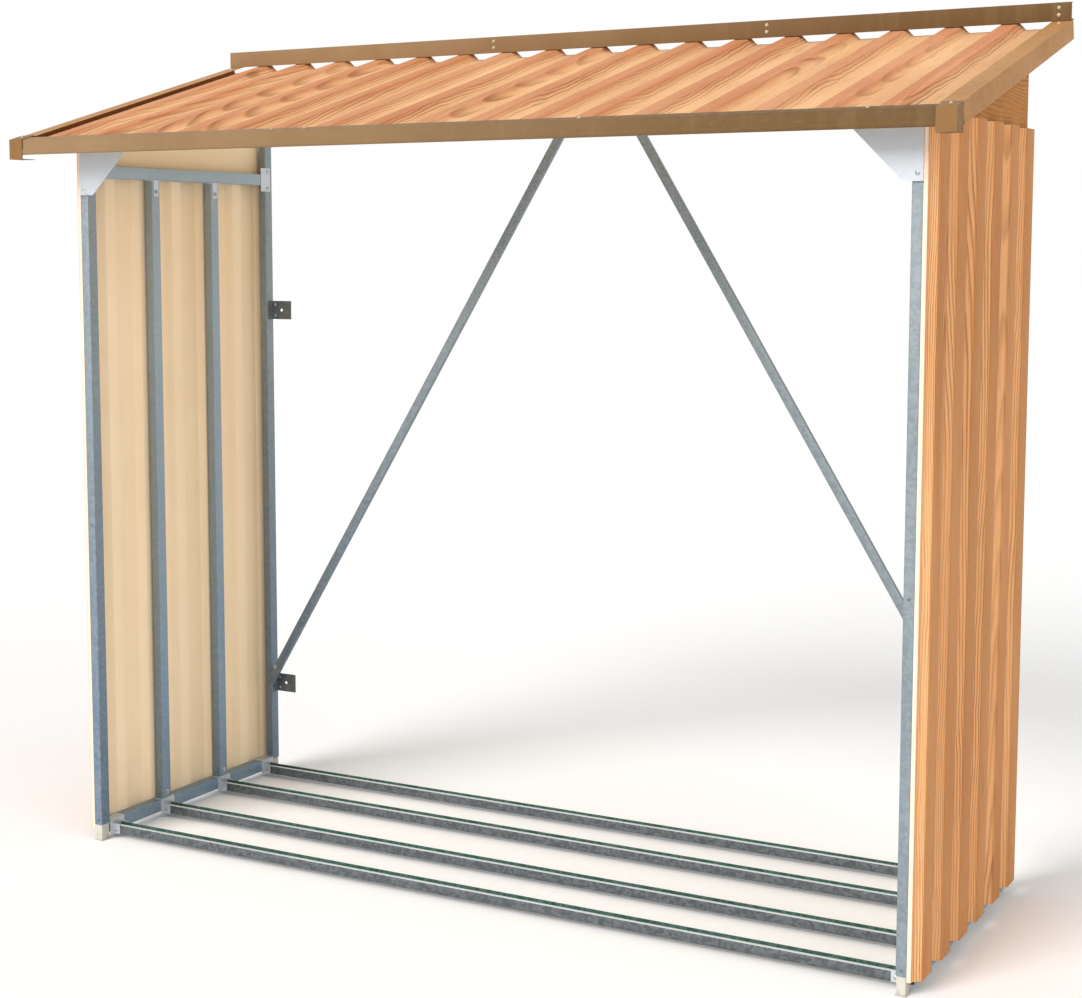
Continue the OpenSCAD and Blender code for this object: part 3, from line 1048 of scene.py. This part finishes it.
@dataclass
class Fixings:
    """Where every screw, bolt and rivet goes."""

    paints: Paintbox
    sink: float = 0.1 * MM
    plate_t: float = 1.5 * MM
    gusset_from_foot: float = 17 * MM
    gusset_from_top: float = 28 * MM
    post_from_foot: float = 14 * MM
    post_middle: float = 0.45
    plate_bolt_in: float = 11 * MM
    plate_bolt_over: float = 9 * MM
    stud_from_top: float = 30 * MM
    stud_from_foot: float = 18 * MM
    brace_foot_in: float = 16 * MM
    brace_foot_share: float = 0.026
    brace_top_in: float = 17 * MM
    brace_from_top: float = 27 * MM
    fixing_h: float = 54 * MM
    fixing_rivet_in: float = 8 * MM
    fixing_rivet_step: float = 16 * MM
    clip_screw_in: float = 11 * MM
    clip_cheek: float = 1.7 * MM
    rake_from_top: float = 56 * MM
    fascia_screw_in: float = 9 * MM
    cap_screw_in: float = 20 * MM
    cap_screw_back: float = 26 * MM
    drop: float = 50 * MM
    fascia_x: tuple[float, ...] = (-0.42, -0.325, 0.395, 1.04)
    strip_x: tuple[float, ...] = (-0.33, 0.465)
    strip_end_in: float = 30 * MM
    strip_from_foot: float = 15 * MM
    strip_from_top: float = 12 * MM

    def build(self) -> None:
        """Sets all the fasteners."""
        zinc = self.paints.fastener
        screw = Fastener(Head.PAN, 5.2 * MM, 3.6 * MM, zinc, "zinc_fittings")
        bolt = Fastener(Head.BOLT, 7.0 * MM, 5.0 * MM, zinc, "zinc_fittings")
        rivet = Fastener(Head.RIVET, 4.6 * MM, 3.0 * MM, zinc, "zinc_fittings")
        dark_screw = Fastener(Head.PAN, 4.0 * MM, 2.6 * MM, self.paints.dull_plate, "zinc_fittings")
        trim_screw = Fastener(Head.HEX_WASHER, 4.4 * MM, 3.4 * MM, self.paints.trim_screw, "tan_trim")
        for side, sign in zip(SIDES, (-1, 1)):
            screw.set_in(f"{side}_gusset_screws", self.gusset(side))
            dark_screw.set_in(f"{side}_post_screws", self.posts(side))
            bolt.set_in(f"{side}_joint_bolts", self.joints(side, sign))
            bolt.set_in(f"{side}_brace_bolts", self.braces(side, sign))
            rivet.set_in(f"{side}_fixing_rivets", self.wall_fixings(side, sign))
            screw.set_in(f"{side}_clip_screws", self.clips(side, sign))
            trim_screw.set_in(f"{side}_rake_screws", self.rakes(side))
        trim_screw.set_in("fascia_screws", self.fascia())
        trim_screw.set_in("rear_trim_screws", self.rear_trim())

    def gusset(self, side: str) -> list[Seat]:
        """Two screws through the gusset into the post."""
        low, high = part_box(f"{side}_gusset")
        post_low, post_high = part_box(f"front_{side}_post")
        face = post_low.y - self.plate_t + self.sink
        x = (post_low.x + post_high.x) / 2
        heights = (low.z + self.gusset_from_foot, high.z - self.gusset_from_top)
        return [(Vector((x, face, z)), FORWARD) for z in heights]

    def posts(self, side: str) -> list[Seat]:
        """Screws in the front face of the front post, near its foot and half way up."""
        low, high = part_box(f"front_{side}_post")
        x = (low.x + high.x) / 2
        heights = (low.z + self.post_from_foot, low.z + (high.z - low.z) * self.post_middle)
        return [(Vector((x, low.y + self.sink, z)), FORWARD) for z in heights]

    def joints(self, side: str, sign: int) -> list[Seat]:
        """Bolts in the joint plates and the tabs of the stud plates."""
        low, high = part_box(f"{side}_joint_plates")
        face = (low.x if sign > 0 else high.x) + sign * self.sink
        out = Vector((-sign, 0, 0))
        rail_low, rail_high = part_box(f"{side}_top_rail")
        heights = (rail_low.z - self.plate_bolt_over, rail_high.z + self.plate_bolt_over)
        places = []
        for y in (rail_low.y - self.plate_bolt_in, rail_high.y + self.plate_bolt_in):
            places += [(Vector((face, y, z)), out) for z in heights]
        for part in ("front", "rear"):
            stud_low, stud_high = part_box(f"{side}_{part}_stud")
            y = (stud_low.y + stud_high.y) / 2
            web = stud_low.x if sign > 0 else stud_high.x
            places.append((Vector((face, y, stud_high.z - self.stud_from_top)), out))
            places.append((Vector((web, y, stud_low.z + self.stud_from_foot)), out))
        return places

    def braces(self, side: str, sign: int) -> list[Seat]:
        """One bolt at each end of a brace."""
        low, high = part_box(f"{side}_brace")
        outer, inner = (high.x, low.x) if sign > 0 else (low.x, high.x)
        y = low.y + self.sink
        foot = low.z + (high.z - low.z) * self.brace_foot_share + self.brace_foot_in
        bottom = Vector((outer - sign * self.brace_foot_in, y, foot))
        top = Vector((inner + sign * self.brace_top_in, y, high.z - self.brace_from_top))
        return [(bottom, FORWARD), (top, FORWARD)]

    def wall_fixings(self, side: str, sign: int) -> list[Seat]:
        """Two rivets at the post's side of each plate."""
        low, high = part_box(f"{side}_wall_fixings")
        post_low, post_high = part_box(f"rear_{side}_post")
        inner = post_low.x if sign > 0 else post_high.x
        x = inner - sign * self.fixing_rivet_in
        face = high.y - self.plate_t + self.sink
        places = []
        for middle in (low.z + self.fixing_h / 2, high.z - self.fixing_h / 2):
            for step in (-self.fixing_rivet_step, self.fixing_rivet_step):
                places.append((Vector((x, face, middle + step)), FORWARD))
        return places

    def clips(self, side: str, sign: int) -> list[Seat]:
        """A screw through the front cheek of each clip."""
        places = []
        for number in range(1, 5):
            low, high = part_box(f"floor_rail_{number}")
            end = high.x if sign > 0 else low.x
            x = end - sign * self.clip_screw_in
            y = low.y - self.clip_cheek + self.sink
            places.append((Vector((x, y, (low.z + high.z) / 2)), FORWARD))
        return places

    def rakes(self, side: str) -> list[Seat]:
        """One screw near the upper end of a side trim's top flange."""
        low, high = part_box(f"{side}_rake_trim")
        start = Vector(((low.x + high.x) / 2, high.y - self.rake_from_top, high.z + self.drop))
        return [self.settle(start, f"{side}_rake_trim")]

    def settle(self, start: Vector, node: str) -> Seat:
        """Drops a point straight down onto a node's surface, square to the roof.

        Args:
            start: A point above the surface.
            node: The node to land on.

        Returns:
            The seat, sunk a little, and the fastener's outward direction.
        """
        out = Vector((0, -math.sin(ROOF_SLOPE), math.cos(ROOF_SLOPE)))
        bpy.context.view_layer.update()
        down = Vector((0, 0, -1))
        hit, where, _, _ = bpy.data.objects[f"{node}_folded"].ray_cast(start, down)
        if not hit:
            raise ValueError(f"nothing below {tuple(start)} on {node}")
        return where - out * self.sink, out

    def fascia(self) -> list[Seat]:
        """Screws along the top flange of the fascia and one on each corner cap."""
        _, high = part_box("front_fascia")
        y = high.y - self.fascia_screw_in
        places = []
        for x in self.fascia_x:
            places.append(self.settle(Vector((x, y, high.z + self.drop)), "front_fascia"))
        cap_low, cap_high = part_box("corner_caps")
        for x in (cap_low.x + self.cap_screw_in, cap_high.x - self.cap_screw_in):
            start = Vector((x, cap_low.y + self.cap_screw_back, cap_high.z + self.drop))
            places.append(self.settle(start, "corner_caps"))
        return places

    def rear_trim(self) -> list[Seat]:
        """Pairs of rivets at the rear strip's joints and at its right-hand end."""
        low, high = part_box("rear_trim")
        face = low.y + self.sink
        columns = [*self.strip_x, high.x - self.strip_end_in]
        heights = (low.z + self.strip_from_foot, high.z - self.strip_from_top)
        return [(Vector((x, face, z)), FORWARD) for x in columns for z in heights]


# Studio


@dataclass
class Studio:
    """Camera, plain floor, backdrop light and lamps."""

    paints: Paintbox
    camera_at: Vector
    turn: float
    dip: float
    lens: float
    shift: tuple[float, float]
    floor_size: float = 60.0
    sky_light: float = 0.5

    def build(self) -> None:
        """Sets up everything round the store."""
        self.camera()
        self.floor()
        self.lamps()
        self.world()
        scene = bpy.context.scene
        scene.view_settings.view_transform = "Standard"

    def camera(self) -> None:
        """The camera, low at the store's right front corner."""
        data = bpy.data.cameras.new("camera")
        data.sensor_fit = "HORIZONTAL"
        data.sensor_width = 36.0
        data.lens = self.lens
        data.shift_x, data.shift_y = self.shift
        camera = add("camera", data)
        camera.location = self.camera_at
        camera.rotation_euler = (math.pi / 2 - self.dip, 0.0, self.turn)
        bpy.context.scene.camera = camera

    def floor(self) -> None:
        """A large plain floor."""
        bpy.ops.object.select_all(action="DESELECT")
        bpy.ops.mesh.primitive_plane_add(size=self.floor_size, location=(0, 0, 0))
        floor = bpy.context.object
        floor.name = "floor"
        floor.data.materials.append(self.paints.floor)

    def sun(self, name: str, toward: Vector, power: float, width: float) -> None:
        """One even, soft-edged light from far away.

        Args:
            name: The lamp's name.
            toward: Direction from the store to the light.
            power: Strength of the light.
            width: Angle that the light spans, which softens its shadows.
        """
        data = bpy.data.lights.new(name, "SUN")
        data.energy = power
        data.angle = width
        data.color = (1.0, 0.985, 0.96)
        lamp = add(name, data)
        lamp.location = toward * 5.0
        lamp.rotation_euler = (-toward).to_track_quat("-Z", "Y").to_euler()

    def lamps(self) -> None:
        """A wide light from the left front, and a weak one from the right for the inside."""
        self.sun("key", Vector((-0.25, -0.83, 0.5)), 2.8, math.radians(34))
        self.sun("fill", Vector((0.9, -0.35, 0.25)), 0.95, math.radians(60))

    def world(self) -> None:
        """White for the camera and in reflections, a little softer as light."""
        world = bpy.data.worlds.new("studio")
        bpy.context.scene.world = world
        world.use_nodes = True
        tree = world.node_tree
        tree.nodes.clear()
        rays = tree.nodes.new("ShaderNodeLightPath")
        seen, light = (tree.nodes.new("ShaderNodeBackground") for _ in range(2))
        for sky, strength in ((seen, 1.0), (light, self.sky_light)):
            sky.inputs["Color"].default_value = WHITE
            sky.inputs["Strength"].default_value = strength
        seen_by = rays.outputs["Is Camera Ray"]
        for kind in ("Is Glossy Ray", "Is Transmission Ray"):
            either = tree.nodes.new("ShaderNodeMath")
            either.operation = "MAXIMUM"
            tree.links.new(seen_by, either.inputs[0])
            tree.links.new(rays.outputs[kind], either.inputs[1])
            seen_by = either.outputs[0]
        mix = tree.nodes.new("ShaderNodeMixShader")
        output = tree.nodes.new("ShaderNodeOutputWorld")
        tree.links.new(seen_by, mix.inputs[0])
        tree.links.new(light.outputs[0], mix.inputs[1])
        tree.links.new(seen.outputs[0], mix.inputs[2])
        tree.links.new(mix.outputs[0], output.inputs["Surface"])


def main() -> None:
    """Dresses the store, sets its fasteners and builds the studio."""
    logging.basicConfig(level=logging.INFO, format="%(message)s")
    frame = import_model()
    nodes = frame["nodes"]
    paints = Paintbox()
    SteelFrame(nodes, paints).build()
    FloorRails(nodes, paints).build()
    PrintedSheets(nodes, paints).build()
    EdgeTrims(nodes, paints).build()
    Fittings(nodes, paints).build()
    Fixings(paints).build()
    Studio(
        paints,
        camera_at=Vector((2.301, -4.163, 1.586)),
        turn=0.5073,
        dip=0.1024,
        lens=63.67,
        shift=(0.0233, -0.0512),
    ).build()


if __name__ == "__main__":
    main()
